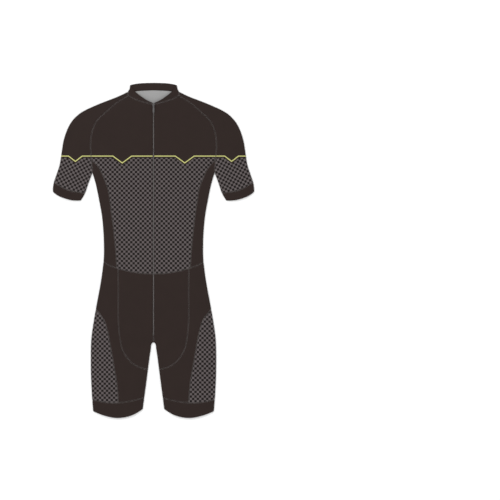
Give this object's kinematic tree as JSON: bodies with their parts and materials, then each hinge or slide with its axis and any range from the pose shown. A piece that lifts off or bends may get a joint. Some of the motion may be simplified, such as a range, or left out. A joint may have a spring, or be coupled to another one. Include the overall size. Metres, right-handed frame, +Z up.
{
  "type": "speed skating suit",
  "caption": "Close-fitting one-piece skating suit with raglan sleeves, short legs, a low stand collar and a front zip, laid flat.",
  "frame": {"origin": "middle of the suit's footprint, on the surface it lies on", "axes": "+X to the wearer's left, +Y to the neck, +Z up, out of the suit's front"},
  "size_m": [0.644, 1.0724, 0.0163],
  "materials": {
    "plain_knit": "near-black stretch knit with a slight sheen",
    "printed_knit": "near-black stretch knit printed with small grey checks and a lime stripe",
    "checked_knit": "stretch knit printed with small near-black and grey checks",
    "gripper_knit": "near-black elastic band",
    "zip_coil": "grey nylon coil",
    "zip_metal": "dark painted metal"
  },
  "bodies": {
    "suit": {"collar": "plain_knit", "front_left": "printed_knit", "front_right": "printed_knit", "back": "printed_knit", "side_panel_left": "plain_knit", "side_panel_right": "plain_knit", "sleeve_left": "printed_knit", "sleeve_right": "printed_knit", "cuff_left": "gripper_knit", "cuff_right": "gripper_knit", "lower_front_left": "plain_knit", "lower_front_right": "plain_knit", "waist_yoke": "plain_knit", "seat_left": "plain_knit", "seat_right": "plain_knit", "leg_left": "plain_knit", "leg_right": "plain_knit", "thigh_insert_left": "checked_knit", "thigh_insert_right": "checked_knit", "hem_band_left": "gripper_knit", "hem_band_right": "gripper_knit", "zip": "zip_coil", "zip_slider": "zip_metal"},
    "pull": {"pull_tab": "zip_metal"}
  },
  "joints": [
    {"name": "pull_tab_hinge", "type": "hinge", "parent": "suit", "child": "pull", "pos_m": [0, 0.464, 0.01461], "axis": [-1, 0, 0], "range_deg": [0, 165]}
  ]
}
